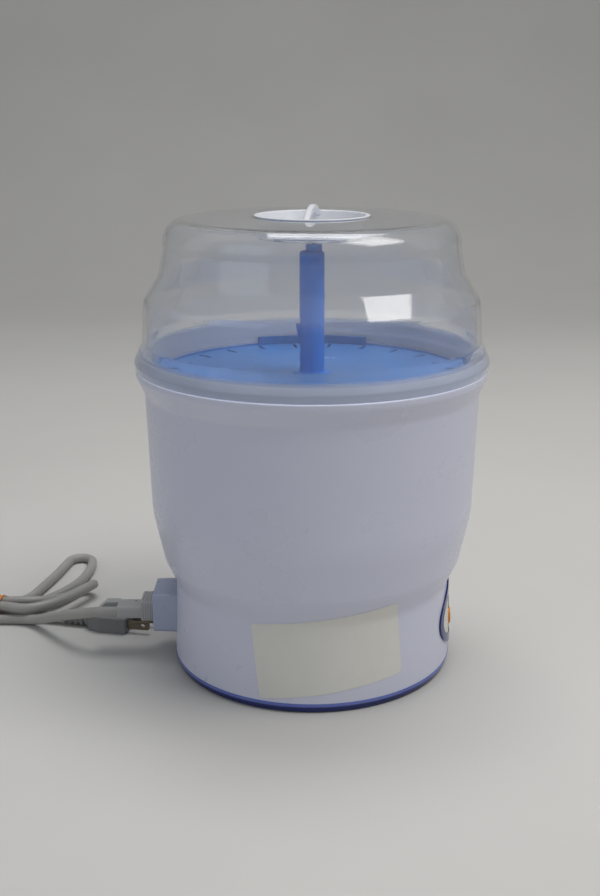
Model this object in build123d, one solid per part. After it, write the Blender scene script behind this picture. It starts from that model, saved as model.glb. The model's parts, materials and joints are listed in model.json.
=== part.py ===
from build123d import *
import math
import os

# Electric steam sterilizer for feeding bottles, in millimetres.
# The origin is on the floor under the centre. +Z is up, +X points to the control panel
# and -X to the mains inlet.

# Clearances
moving_gap = 0.3        # between pieces that lift off, swing or travel
seat_gap = 0.1          # between fixed pieces that are assembled
pivot_gap = 0.05        # round the latch's pin

# Base plate
ground_gap = 0.8        # the rim's lower edge above the floor
base_height = 7.0       # the rim's top, where the shell starts
base_proud = 0.2        # the rim beyond the shell's skirt
base_taper = 1.4        # the rim is this much narrower at its lower edge
base_edge_z = 5.0       # where the taper starts
base_rim = 4.4          # the rim's thickness at its foot
base_floor_low = 2.0
base_floor_high = 4.5
base_lip_top = 10.0     # the lip inside the shell
base_lip = 2.5
foot_r = 8.0
foot_stud_r = 2.4
foot_stud_top = 5.6
foot_ring_r = 80.0      # feet and base screws stand on this circle
base_screw_r = 1.5
base_screw_head_r = 3.1
base_screw_head = 1.8
base_screw_seat = 1.3   # plate left over the head
base_screw_length = 12.0
column_r = 4.5
vent_width = 2.4
vent_length = 26.0
vent_pitch = 6.0
vent_count = 9

# Outer shell: radius and height of each corner of its outline
wall = 2.5
skirt_r = 98.0
waist_inset = 2.1       # the waist is this much narrower than the skirt
waist_z = 61.5
collar_r = 118.8
rim_z = 212.0
rim_high = 4.0          # the collar's upright edge
collar_high = 12.0      # the slope under that edge
collar_proud = 5.5      # the collar beyond the drum
drum_flare = 2.4
drum_low_z = 112.0
bowl_inset = 7.1
bowl_z = 78.5
waist_round = 12.0
bowl_round = 20.0
drum_round = 80.0
collar_round = 6.0
ledge_depth = 10.5      # from the rim down to where the upper tray rests
rim_width = 4.9
deck_rise = 5.5         # the chamber's floor above the waist
deck_thick = 3.0
deck_hole_r = 60.0

# Heating unit, hung under the deck
gasket_thick = 2.0
gasket_width = 5.6
plate_thick = 1.2
plate_r = 65.5
pan_r = 55.0
pan_depth = 4.0
clamp_thick = 3.0
clamp_inner_r = 58.8
clamp_outer_r = 74.0
clamp_screw_ring_r = 70.0
clamp_boss_r = 4.0
clamp_screw_r = 1.2
clamp_screw_head_r = 2.8
clamp_screw_head = 1.8
clamp_screw_count = 3
element_ring_r = 38.0
element_r = 3.5
element_gap_deg = 60.0  # the ring's opening, towards the inlet
terminal_r = 1.5
terminal_length = 9.0
thermostat_r = 8.0
thermostat_high = 8.0
bracket_thick = 0.8
bracket_reach = 24.0
bracket_width = 6.0
fuse_r = 2.0
fuse_length = 10.0
fuse_lead_r = 0.5
fuse_lead = 8.0
fuse_y = 20.0           # beside the thermostat

# Mains inlet, at -X
inlet_proud = 14.5      # the housing's face beyond the skirt
inlet_inside = 8.0      # and its back inside the skirt
inlet_width = 35.0
inlet_low = 20.7
inlet_high = 48.7
inlet_corner = 4.0
inlet_taper_deg = 2.0
inlet_flange = 3.5
inlet_flange_thick = 3.0
pocket_depth = 16.0
insert_flange = 3.0
insert_back = 4.0
pin_width = 4.0
pin_thick = 2.0
pin_pitch = 10.0
pin_reach = 12.5        # how far the pins stand in the pocket
pin_tail = 4.0

# Connector on the lead
nose_width = 19.6
nose_high = 14.0
nose_length = 14.8
nose_corner = 3.0
head_length = 9.2
head_width = 22.0
head_low = 25.7
head_high = 41.0
grip_length = 17.5
grip_half = 8.5
grip_low = 26.5
grip_high = 36.0
rib_count = 5
rib_pitch = 1.7
rib_width = 0.8
rib_depth = 0.6
tail_length = 15.5
tail_flat = 9.1         # the tail's level part, before it slopes down
tail_low = 27.4
tail_near_y = 0.8
tail_far_y = 8.3
dimple_r = 0.8
dimple_inset = 5.0
dimple_y = 3.0
socket_wall = 0.5
socket_length = 12.2

# Control panel, at +X
panel_z = 35.5          # the oval panel's centre
panel_half = 42.0       # half its width
panel_half_high = 22.5
panel_frame = 6.0       # the bezel's width round the panel's plate
panel_proud = 1.2
plate_proud = 0.6
display_z = 41.0
display_width = 20.0
display_high = 11.0
display_corner = 2.0
display_frame = 2.0     # the shell's window is this much smaller all round
lens_thick = 1.0
button_z = 26.5
button_r = 6.0
button_travel = 1.2
button_proud = 1.6
button_flange_r = 7.2
button_flange = 1.2
button_stem_r = 3.0
light_y = 14.0
light_z = 26.5
light_r = 1.6
light_proud = 0.4       # beyond the plate
board_inset = 16.0      # the board's back behind the skirt
board_thick = 1.6
board_half = 24.0
board_low = 12.0
board_high = 48.0
board_screw_y = 20.0
board_screw_z = (17.0, 43.0)
board_screw_r = 1.2
board_screw_head_r = 2.2
board_screw_head = 1.5
board_screw_length = 7.0
board_post = 4.0
module_width = 22.0
module_high = 13.0
switch_side = 6.2
switch_high = 3.6
plunger_r = 1.6
plunger_depth = 1.6     # how deep the plunger sits in the switch before it is pressed

# Label film on the skirt, left blank: across and up from the front
label_corners = ((-39.5, 59.3), (55.4, 72.6), (59.2, 20.3), (-34.3, 8.6))
label_round = 2.5
label_thick = 0.15
label_glue = 0.03

# Lid: its radii inward from the collar, its heights above the shell's rim
lid_wall = 2.3
flange_proud = 0.8      # the flange beyond the collar
flange_low_proud = 0.5
flange_rise = 5.0
neck_inset = 4.7
neck_rise = 17.5
side_inset = 2.0
side_rise = 45.0
step_inset = 10.2
step_rise = 61.6
crown_inset = 3.4
crown_rise = 78.0
crown_round = 14.0
top_inset = 0.6
top_rise = 97.6
lip_depth = 6.0
well_proud = 1.0        # the well's edge above the lid's top
well_depth = 10.8
well_top_r = 37.0
well_low_r = 33.0

# Lid grip
grip_wall = 1.5
grip_overhang = 1.3     # the cup's edge beyond the well
grip_rim = 0.9
grip_bar_rise = 7.4
grip_bar_thick = 3.0
grip_bar_width = 4.0
grip_turn_deg = -6.3
peg_ring_r = 24.0
peg_r = 2.0
peg_head_r = 2.6
peg_head = 1.2
vent_hole_r = 1.5

# Upper tray
tray_thick = 2.0
tray_bead_inset = 2.9
tray_bead_width = 1.6
tray_bead = 1.2
lug_inset = 4.0
lug_thick = 2.0
lug_drop = 2.0          # the lugs' tops below the shell's rim
lug_span_deg = 44.0
slot_inset = 15.0       # the steam slots stand in one ring near the edge
slot_length = 13.0
slot_width = 2.2
slot_count = 24

# Stem
stem_r = 8.4
stem_wall = 1.8
stem_flange_r = 13.0
stem_flange = 2.0
stem_tail = 6.0
stem_barb = 0.8
stem_cap = 8.0
stem_shoulder = 3.0
head_x = 1.2            # the head stands off the column's axis
head_r = 5.5
stem_head_high = 5.1
tip_r = 1.6
tip_high = 3.1
tip_gap = 0.5           # under the lid's well
spigot_r = 4.0

# Latch lever in the stem, on its -X side
latch_pin_rise = 17.7   # above the tray
latch_pin_inset = 1.9
latch_pin_r = 0.7
latch_pin_length = 8.0
latch_width = 5.2
latch_high = 16.9       # above its pin
latch_reach = 2.5       # the tip beyond the column
latch_tip_thick = 2.8
latch_tip_high = 1.4
latch_root_rise = 4.5
latch_face_inset = 0.2
latch_back_inset = 2.5
latch_window = 4.6      # open above the lever

# Bottle rack
rack_rise = 5.0         # above the deck
rack_thick = 3.0
rack_rings = (30.0, 58.0, 88.0)
rack_ring_half = 1.6
rack_hub_r = 12.0
rack_hub = 6.0
rack_spokes = 6
rack_peg_ring_r = 58.0
rack_peg_r = 2.6
rack_peg_high = 52.0
rack_foot_r = 3.0
rack_post_rise = 10.2   # into the stem

# Plug, lying on the floor
plug_turn_deg = -10.3
plug_front = (-136.9, 33.6)
plug_length = 32.0
plug_width = 22.0
plug_rear_width = 14.0
plug_high = 12.5
plug_waist = 10.0       # length of its tapered rear
plug_round = 1.5
relief_length = 22.0
relief_big_r = 5.5
relief_small_r = 4.3
relief_slots = 4
relief_slot = 1.8
relief_core = 2.4
blade_length = 17.0
blade_width = 6.35
blade_thick = 1.5
blade_pitch = 12.7
blade_root = 7.0
blade_hole_r = 1.6
blade_hole_back = 5.1

# Mains lead
cord_d = 7.4
tie_gap = 0.4
tie_thick = 0.8
tie_width = 5.5
tie_x = -241.0

# From the connector down to the hank
cord_lead_points = [
    (-139.5, -4.6, 31.0), (-147.5, -4.6, 31.0), (-156.2, -3.2, 30.0), (-164.4, -0.2, 27.9),
    (-172.0, 4.3, 25.1), (-179.4, 10.6, 21.7), (-188.6, 19.0, 16.6), (-198.2, 28.0, 11.2),
    (-206.6, 35.4, 6.9), (-215.4, 40.6, 4.5), (-225.4, 43.0, 3.7), (-235.4, 42.8, 3.7),
]

# The folded hank, one unbroken tube
cord_hank_points = [
    # outer loop behind the tie
    (-235.4, 42.8, 3.7), (-250.4, 42.5, 3.7), (-266.0, 36.4, 3.7), (-281.0, 27.4, 3.7),
    (-298.6, 18.9, 3.7), (-325.4, 18.9, 3.7), (-347.0, 34.6, 3.7), (-355.2, 60.0, 3.7),
    (-347.0, 85.4, 3.7), (-325.4, 101.1, 3.7), (-298.6, 101.1, 3.7), (-281.0, 93.0, 3.7),
    (-267.0, 82.6, 3.7), (-255.0, 75.4, 4.3), (-246.0, 71.4, 5.1), (-237.8, 71.2, 5.1),
    # long loop beside the base
    (-230.6, 74.4, 4.5), (-225.6, 80.2, 4.0), (-222.2, 88.0, 3.7), (-219.4, 101.0, 3.7),
    (-215.6, 118.0, 3.7), (-212.0, 136.0, 3.7), (-210.2, 149.0, 3.7), (-208.6, 157.8, 3.7),
    (-207.4, 166.0, 3.7), (-201.8, 170.8, 3.7), (-194.6, 170.8, 3.7), (-189.0, 166.0, 3.7), (-187.5, 157.8, 3.7),
    (-187.0, 147.0, 3.7), (-187.6, 133.0, 3.7), (-190.4, 116.4, 3.7), (-196.2, 101.8, 3.7),
    (-203.4, 89.0, 3.7), (-211.6, 78.0, 3.7), (-221.2, 69.4, 3.9), (-232.0, 63.4, 4.6),
    (-244.0, 61.8, 5.2),
    # middle loop behind the tie
    (-256.0, 64.8, 4.4), (-270.0, 73.6, 3.8), (-285.0, 84.6, 3.7), (-301.5, 92.3, 3.7),
    (-322.5, 92.3, 3.7), (-339.5, 80.0, 3.7), (-346.0, 60.0, 3.7), (-339.5, 40.0, 3.7),
    (-322.5, 27.7, 3.7), (-301.5, 27.7, 6.2), (-281.0, 36.8, 9.8), (-264.0, 44.8, 11.8),
    (-252.0, 48.6, 12.4), (-237.0, 48.4, 12.4),
    # top strand, its fold, and the strand that comes back behind it
    (-227.0, 44.8, 12.4), (-216.6, 42.8, 12.3), (-206.0, 46.8, 12.7), (-195.8, 56.4, 12.4),
    (-187.8, 68.4, 11.9), (-181.0, 80.6, 11.8), (-174.6, 92.0, 11.8), (-175.7, 98.5, 9.5),
    (-180.8, 101.2, 6.0), (-186.8, 99.2, 3.8), (-192.3, 88.8, 3.9), (-197.4, 79.0, 5.4),
    (-203.4, 69.6, 8.0), (-211.0, 62.0, 10.6), (-221.0, 58.4, 11.9), (-232.0, 57.7, 12.2),
    (-244.0, 57.7, 12.0),
    # inner loop behind the tie
    (-257.0, 60.2, 11.7), (-271.0, 67.0, 10.9), (-286.0, 75.4, 8.2), (-304.4, 83.5, 4.2),
    (-319.6, 83.5, 3.7), (-332.0, 74.6, 3.7), (-336.7, 60.0, 3.7), (-332.0, 45.4, 3.7),
    (-319.6, 36.5, 3.7), (-304.4, 36.5, 3.7), (-284.0, 44.0, 3.7), (-264.0, 51.2, 4.3),
    (-244.0, 53.8, 5.3), (-232.0, 53.8, 4.6), (-220.0, 51.2, 4.2),
]

# From the hank to the plug's strain relief
cord_plug_points = [
    (-220.0, 51.2, 4.2), (-209.2, 48.86, 3.84), (-199.87, 45.04, 5.5), (-190.03, 43.256, 5.5),
]

# Wires inside the base
wire_d = 2.2


# General shapes

def turned(corners):
    # A ring turned about Z from (radius, height, rounding) corners.
    outline = FilletPolyline([(r, z) for r, z, _ in corners], radius=[f for _, _, f in corners], close=True)
    return revolve(Plane.XZ * make_face(outline), Axis.Z)


def disc(radius, low, high, x=0.0, y=0.0):
    return Pos(x, y, (low + high) / 2) * Cylinder(radius, high - low)


def rod(radius, start_x, end_x, y, z):
    # A round bar along X.
    centre = Pos((start_x + end_x) / 2, y, z)
    return centre * Rot(0, 90, 0) * Cylinder(radius, abs(end_x - start_x))


def block(x_low, x_high, y_low, y_high, z_low, z_high):
    size = (x_high - x_low, y_high - y_low, z_high - z_low)
    return Pos((x_low + x_high) / 2, (y_low + y_high) / 2, (z_low + z_high) / 2) * Box(*size)


def rounded_bar(x_low, x_high, y, z, width, high, corner):
    # A bar along X with a rounded rectangular section.
    face = Plane((x_low, y, z), x_dir=(0, 1, 0), z_dir=(1, 0, 0)) * RectangleRounded(width, high, corner)
    return extrude(face, x_high - x_low)


def round_places(radius, count, first_deg=0.0):
    angles = [math.radians(first_deg + 360 * i / count) for i in range(count)]
    return [(radius * math.cos(a), radius * math.sin(a)) for a in angles]


def joined(pieces):
    whole = pieces[0]
    for piece in pieces[1:]:
        whole = whole + piece
    return whole


# Shell's radii and heights
base_r = skirt_r + base_proud
waist_r = skirt_r - waist_inset
drum_top_r = collar_r - collar_proud
drum_low_r = drum_top_r - drum_flare
bowl_r = drum_low_r - bowl_inset
mouth_r = collar_r - rim_width
collar_z = rim_z - rim_high
drum_top_z = collar_z - collar_high
ledge_z = rim_z - ledge_depth

# Heating unit's heights
deck_z = waist_z + deck_rise
deck_low = deck_z - deck_thick
plate_top = deck_low - gasket_thick
plate_low = plate_top - plate_thick
pan_top = plate_top - pan_depth
pan_low = pan_top - plate_thick
clamp_low = plate_low - clamp_thick
element_z = pan_low - element_r

# Inlet, connector and board along X
inlet_mid_z = (inlet_low + inlet_high) / 2
inlet_face_x = -skirt_r - inlet_proud
inlet_back_x = inlet_inside - skirt_r
pocket_back_x = inlet_face_x + pocket_depth
pocket_width = nose_width + 2 * moving_gap
pocket_high = nose_high + 2 * moving_gap
axis_z = (head_low + head_high) / 2
head_front_x = inlet_face_x - moving_gap
nose_front_x = head_front_x + nose_length
head_back_x = head_front_x - head_length
grip_back_x = head_back_x - grip_length
tail_slope_x = grip_back_x - tail_flat
tail_end_x = grip_back_x - tail_length
board_x = skirt_r - board_inset
board_face_x = board_x + board_thick

# Lid's radii and heights
flange_r = collar_r + flange_proud
flange_low_r = collar_r + flange_low_proud
neck_r = collar_r - neck_inset
side_r = neck_r - side_inset
step_r = side_r - step_inset
crown_r = step_r - crown_inset
top_r = crown_r - top_inset
flange_z = rim_z + flange_rise
neck_z = rim_z + neck_rise
side_z = rim_z + side_rise
step_z = rim_z + step_rise
crown_z = rim_z + crown_rise
top_z = rim_z + top_rise
lid_lip_z = rim_z - lip_depth
well_top_z = top_z + well_proud
well_floor_z = well_top_z - well_depth
grip_floor_z = well_floor_z + seat_gap
grip_floor_top = grip_floor_z + grip_wall
grip_bar_top = well_top_z + grip_bar_rise
grip_rim_r = well_top_r + grip_overhang

# Tray, stem, latch and rack
tray_low = ledge_z + moving_gap
tray_top = tray_low + tray_thick
tray_bead_r = mouth_r - tray_bead_inset
lug_r = mouth_r - lug_inset
lug_top = rim_z - lug_drop
tip_top = well_floor_z - lid_wall - tip_gap
head_top = tip_top - tip_high
stem_top = head_top - stem_head_high
latch_pin_x = latch_pin_inset - stem_r
latch_pin_z = tray_top + latch_pin_rise
latch_top = latch_pin_z + latch_high
latch_tip_x = -stem_r - latch_reach
latch_face_x = latch_face_inset - stem_r
latch_back_x = latch_back_inset - stem_r
latch_root_z = latch_pin_z + latch_root_rise
rack_low = deck_z + rack_rise
rack_post_top = tray_top + rack_post_rise
relief_axis_z = relief_big_r


def skirt_radius(z):
    share = (z - base_height) / (waist_z - base_height)
    return skirt_r + (waist_r - skirt_r) * share


def skirt_band(low, high, inside, outside_low, outside_high):
    # A ring that follows the skirt, between two offsets from its outer face.
    return turned([
        (skirt_radius(low) + inside, low, 0), (skirt_radius(low) + outside_low, low, 0),
        (skirt_radius(high) + outside_high, high, 0), (skirt_radius(high) + inside, high, 0),
    ])


# Base plate, feet and screws

def base_plate():
    lip_r = skirt_radius(base_lip_top) - wall - seat_gap
    foot_edge_r = base_r - base_taper
    plate = turned([
        (0, base_floor_low, 0), (foot_edge_r - base_rim - 1, base_floor_low, 0.5),
        (foot_edge_r - base_rim, ground_gap, 0), (foot_edge_r, ground_gap, 0.4),
        (base_r, base_edge_z, 1.0), (base_r, base_height, 0),
        (lip_r, base_height, 0), (lip_r, base_lip_top, 0.6),
        (lip_r - base_lip, base_lip_top, 0.4), (lip_r - base_lip, base_floor_high, 1.0),
        (0, base_floor_high, 0),
    ])
    head_top_z = base_floor_high - base_screw_seat
    for side in (-1, 1):
        post_y = side * board_screw_y
        plate += block(board_x - board_post, board_x, post_y - 3, post_y + 3, base_floor_high, board_high - 1)
        for z in board_screw_z:
            plate -= rod(board_screw_r + seat_gap, board_x - board_post, board_x, post_y, z)
    for x, y in round_places(foot_ring_r, 4, 45):
        plate -= disc(base_screw_r + seat_gap, base_floor_low, base_floor_high, x, y)
        plate -= disc(base_screw_head_r + seat_gap, ground_gap, head_top_z, x, y)
    for x, y in round_places(foot_ring_r, 4):
        plate -= disc(foot_stud_r + seat_gap, base_floor_low, base_floor_high, x, y)
    first_x = -vent_pitch * (vent_count - 1) / 2
    vents = [
        Pos(first_x + vent_pitch * i, 0, base_floor_low) * extrude(SlotOverall(vent_length, vent_width, rotation=90), 4)
        for i in range(vent_count)
    ]
    return plate - vents


def rubber_feet():
    feet = []
    for x, y in round_places(foot_ring_r, 4):
        pad = fillet(disc(foot_r, 0, base_floor_low, x, y).edges().group_by(Axis.Z)[0], 0.4)
        feet.append(pad + disc(foot_stud_r, base_floor_low, foot_stud_top, x, y))
    return Compound(feet)


def base_screws():
    head_top_z = base_floor_high - base_screw_seat
    screws = []
    for x, y in round_places(foot_ring_r, 4, 45):
        head = disc(base_screw_head_r, head_top_z - base_screw_head, head_top_z, x, y)
        head -= Pos(x, y, head_top_z - base_screw_head) * Box(0.8, 3.6, 1.2)
        head -= Pos(x, y, head_top_z - base_screw_head) * Box(3.6, 0.8, 1.2)
        screws.append(head + disc(base_screw_r, head_top_z, head_top_z + base_screw_length, x, y))
    return Compound(screws)


# Outer shell

def shell_outline():
    return [
        (skirt_r, base_height, 0), (waist_r, waist_z, waist_round), (bowl_r, bowl_z, bowl_round),
        (drum_low_r, drum_low_z, drum_round), (drum_top_r, drum_top_z, collar_round),
        (collar_r, collar_z, collar_round), (collar_r, rim_z, 0.9),
    ]


def outer_shell():
    inside = [
        (mouth_r, rim_z, 0.6), (mouth_r, ledge_z, 0), (drum_top_r - wall, ledge_z, 0.4),
        (drum_low_r - wall, drum_low_z, drum_round), (bowl_r - wall, bowl_z, bowl_round),
        (waist_r - wall, waist_z, waist_round), (skirt_r - wall, base_height, 0),
    ]
    shell = turned(shell_outline() + inside)
    deck_r = waist_r - wall / 2 + 2
    shell += disc(deck_r, deck_low, deck_z) - disc(deck_hole_r, deck_low, deck_z)
    for x, y in round_places(foot_ring_r, 4, 45):
        shell += disc(column_r, base_floor_high + seat_gap, deck_low + 0.5, x, y)
        pilot_top = base_floor_high + base_screw_length
        shell -= disc(base_screw_r + seat_gap, base_floor_high, pilot_top, x, y)
    for x, y in round_places(clamp_screw_ring_r, clamp_screw_count):
        shell += disc(clamp_boss_r, plate_low, deck_low + 0.5, x, y)
        shell -= disc(clamp_screw_r + seat_gap, plate_low, deck_z - 1, x, y)
    shell -= inlet_block(seat_gap)
    shell -= display_window(display_width - 2 * display_frame, display_high - 2 * display_frame, 0.5)
    shell -= rod(button_r + moving_gap, board_face_x, skirt_r + 5, 0, button_z)
    for side in (-1, 1):
        shell -= rod(light_r + seat_gap, board_face_x, skirt_r + 5, side * light_y, light_z)
    return shell


def label_film():
    edge = [(r + label_glue, z) for r, z, _ in shell_outline()[:4]]
    rounds = [f for _, _, f in shell_outline()[1:3]]
    strip = FilletPolyline(edge, radius=rounds).offset_2d(label_thick, kind=Kind.INTERSECTION, side=Side.RIGHT, closed=True)
    skin = revolve(Plane.XZ * make_face(strip), Axis.Z)
    sheet = Plane.XZ * make_face(FilletPolyline(label_corners, radius=[label_round] * 4, close=True))
    return skin & extrude(sheet, collar_r)


# Heating unit

def heating_plate():
    return turned([
        (0, pan_low, 0), (pan_r + 1.2, pan_low, 1.5), (clamp_inner_r - 0.6, plate_low, 1.0),
        (plate_r, plate_low, 0), (plate_r, plate_top, 0), (clamp_inner_r - 1.4, plate_top, 1.0),
        (pan_r, pan_top, 1.5), (0, pan_top, 0),
    ])


def plate_gasket():
    outer = deck_hole_r + gasket_width - 0.4
    return turned([
        (deck_hole_r - 0.4, plate_top, 0), (outer, plate_top, 0), (outer, deck_low, 0), (deck_hole_r - 0.4, deck_low, 0),
    ])


def clamp_ring():
    ring = disc(clamp_outer_r, clamp_low, plate_low) - disc(clamp_inner_r, clamp_low, plate_low)
    for x, y in round_places(clamp_screw_ring_r, clamp_screw_count):
        ring -= disc(clamp_screw_r + seat_gap, clamp_low, plate_low, x, y)
    return ring


def clamp_screws():
    screws = []
    for x, y in round_places(clamp_screw_ring_r, clamp_screw_count):
        head = disc(clamp_screw_head_r, clamp_low - clamp_screw_head, clamp_low, x, y)
        head -= Pos(x, y, clamp_low - clamp_screw_head) * Box(0.7, 3.4, 1.2)
        screws.append(head + disc(clamp_screw_r, clamp_low, deck_z - 1.5, x, y))
    return Compound(screws)


def element_end(side):
    # End of the heating element's ring and the direction in which its terminal leaves.
    angle = math.radians(180 - element_gap_deg / 2)
    end = (element_ring_r * math.cos(angle), side * element_ring_r * math.sin(angle), element_z)
    return end, (-math.sin(angle), side * math.cos(angle), 0)


def heating_element():
    section = Plane.XZ * (Pos(element_ring_r, element_z) * Circle(element_r))
    ring = revolve(section, Axis.Z, 360 - element_gap_deg)
    return Rot(0, 0, element_gap_deg / 2 - 180) * ring


def element_terminals():
    ends = []
    for side in (-1, 1):
        end, away = element_end(side)
        ends.append(extrude(Plane(end, z_dir=away) * Circle(terminal_r), terminal_length))
    return Compound(ends)


def thermostat():
    body = disc(thermostat_r, pan_low - thermostat_high, pan_low)
    return fillet(body.edges().group_by(Axis.Z)[0], 1.0)


def thermostat_bracket():
    low = pan_low - thermostat_high - bracket_thick
    half = bracket_width / 2
    strap = block(-bracket_reach, bracket_reach, -half, half, low, low + bracket_thick)
    for side in (-1, 1):
        inner = side * (bracket_reach - bracket_thick)
        outer = side * bracket_reach
        strap += block(min(inner, outer), max(inner, outer), -half, half, low, pan_low)
    return strap


def thermal_fuse():
    z = pan_low - fuse_r
    lead_end = fuse_length / 2 + fuse_lead
    return rod(fuse_r, -fuse_length / 2, fuse_length / 2, fuse_y, z) + rod(fuse_lead_r, -lead_end, lead_end, fuse_y, z)


# Mains inlet

def inlet_block(grow):
    # The housing's outer form, a little smaller towards its face.
    depth = inlet_back_x - inlet_face_x
    spread = 2 * depth * math.tan(math.radians(inlet_taper_deg)) + 2 * grow
    base = Plane((inlet_back_x, 0, inlet_mid_z), x_dir=(0, 1, 0), z_dir=(-1, 0, 0))
    face = base * RectangleRounded(inlet_width + spread, inlet_high - inlet_low + spread, inlet_corner)
    return extrude(face, depth, taper=inlet_taper_deg)


def inlet_pocket(x_low, x_high, shrink):
    return rounded_bar(x_low, x_high, 0, axis_z, pocket_width - 2 * shrink, pocket_high - 2 * shrink, nose_corner)


def inlet_housing():
    low = inlet_low - inlet_flange
    high = inlet_high + inlet_flange
    half = inlet_width / 2 + inlet_flange
    outside = -wall - seat_gap
    flange = skirt_band(low, high, outside - inlet_flange_thick, outside, outside)
    flange &= block(-skirt_r, -skirt_r / 2, -half, half, low, high)
    body = inlet_block(0) + flange
    return body - inlet_pocket(inlet_face_x, inlet_back_x, 0)


def pin_slot(x_low, x_high, y, grow):
    width = pin_thick / 2 + grow
    high = pin_width / 2 + grow
    return block(x_low, x_high, y - width, y + width, axis_z - high, axis_z + high)


def mains_inlet():
    insert = inlet_pocket(pocket_back_x, inlet_back_x, seat_gap)
    half = pocket_width / 2 + insert_flange
    high = pocket_high / 2 + insert_flange
    insert += block(inlet_back_x, inlet_back_x + insert_back, -half, half, axis_z - high, axis_z + high)
    for side in (-1, 1):
        insert -= pin_slot(pocket_back_x, inlet_back_x + insert_back, side * pin_pitch / 2, seat_gap / 2)
    return insert


def inlet_pins():
    front = pocket_back_x - pin_reach
    back = inlet_back_x + insert_back + pin_tail
    pins = []
    for side in (-1, 1):
        pin = pin_slot(front, back, side * pin_pitch / 2, 0)
        pins.append(chamfer(pin.edges().filter_by(Axis.Z).group_by(Axis.X)[0], 0.5))
    return Compound(pins)


# Control panel

def display_window(width, high, corner):
    return rounded_bar(board_face_x, skirt_r + 6, 0, display_z, width, high, corner)


def panel_oval(inset):
    # The panel's outline, or one that lies inside it, as a bar along X.
    sheet = Plane.YZ * (Pos(0, panel_z) * Ellipse(panel_half - inset, panel_half_high - inset))
    return extrude(sheet, skirt_r + 10)


def panel_bezel():
    band = skirt_band(base_height, waist_z, 0, panel_proud, panel_proud)
    return band & (panel_oval(0) - panel_oval(panel_frame))


def panel_plate():
    band = skirt_band(base_height, waist_z, 0, plate_proud, plate_proud)
    plate = band & panel_oval(panel_frame + seat_gap)
    plate -= display_window(display_width + 2 * seat_gap, display_high + 2 * seat_gap, display_corner)
    plate -= rod(button_r + moving_gap, board_face_x, skirt_r + 8, 0, button_z)
    for side in (-1, 1):
        plate -= rod(light_r + seat_gap, board_face_x, skirt_r + 8, side * light_y, light_z)
    return plate


def display_lens():
    band = skirt_band(base_height, waist_z, 0, lens_thick, lens_thick)
    return band & display_window(display_width, display_high, display_corner - seat_gap)


def indicator_lens():
    proud = plate_proud + light_proud
    band = skirt_band(base_height, waist_z, -wall, proud, proud)
    lights = [band & rod(light_r, board_face_x, skirt_r + 8, side * light_y, light_z) for side in (-1, 1)]
    return Compound([solid for light in lights for solid in light.solids()])


def module_front_x():
    inner_r = skirt_radius(display_z + module_high / 2) - wall
    return math.sqrt(inner_r ** 2 - (module_width / 2) ** 2) - moving_gap


def display_module():
    high = module_high / 2
    half = module_width / 2
    module = block(board_face_x, module_front_x(), -half, half, display_z - high, display_z + high)
    return fillet(module.edges().filter_by(Axis.X), 0.8)


def control_board():
    board = block(board_x, board_face_x, -board_half, board_half, board_low, board_high)
    for side in (-1, 1):
        for z in board_screw_z:
            board -= rod(board_screw_r + seat_gap, board_x, board_face_x, side * board_screw_y, z)
    chip_low = board_low + 3
    board += block(board_x - 1.8, board_x, -6, 6, chip_low, chip_low + 9)
    return board


def board_screws():
    screws = []
    for side in (-1, 1):
        for z in board_screw_z:
            y = side * board_screw_y
            head = rod(board_screw_head_r, board_face_x, board_face_x + board_screw_head, y, z)
            shank = rod(board_screw_r, board_face_x - board_screw_length, board_face_x, y, z)
            screws.append(head + shank)
    return Compound(screws)


def button_flange_x():
    inner_r = skirt_radius(button_z + button_flange_r) - wall
    return math.sqrt(inner_r ** 2 - button_flange_r ** 2) - moving_gap


def button_back_x():
    return board_face_x + switch_high + button_travel + moving_gap


def start_button():
    front = skirt_radius(button_z) + plate_proud + button_proud
    flange_x = button_flange_x()
    cap = rod(button_r, flange_x, front, 0, button_z)
    cap = fillet(cap.edges().group_by(Axis.X)[-1], 0.6)
    flange = rod(button_flange_r, flange_x - button_flange, flange_x, 0, button_z)
    return cap + flange + rod(button_stem_r, button_back_x(), flange_x - button_flange, 0, button_z)


def button_switch():
    half = switch_side / 2
    body = block(board_face_x, board_face_x + switch_high, -half, half, button_z - half, button_z + half)
    hole_back = board_face_x + switch_high - plunger_depth - button_travel - moving_gap
    return body - rod(plunger_r + moving_gap, hole_back, board_face_x + switch_high, 0, button_z)


def switch_plunger():
    back = board_face_x + switch_high - plunger_depth
    return rod(plunger_r, back, button_back_x(), 0, button_z)


# Lid and its grip

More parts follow.
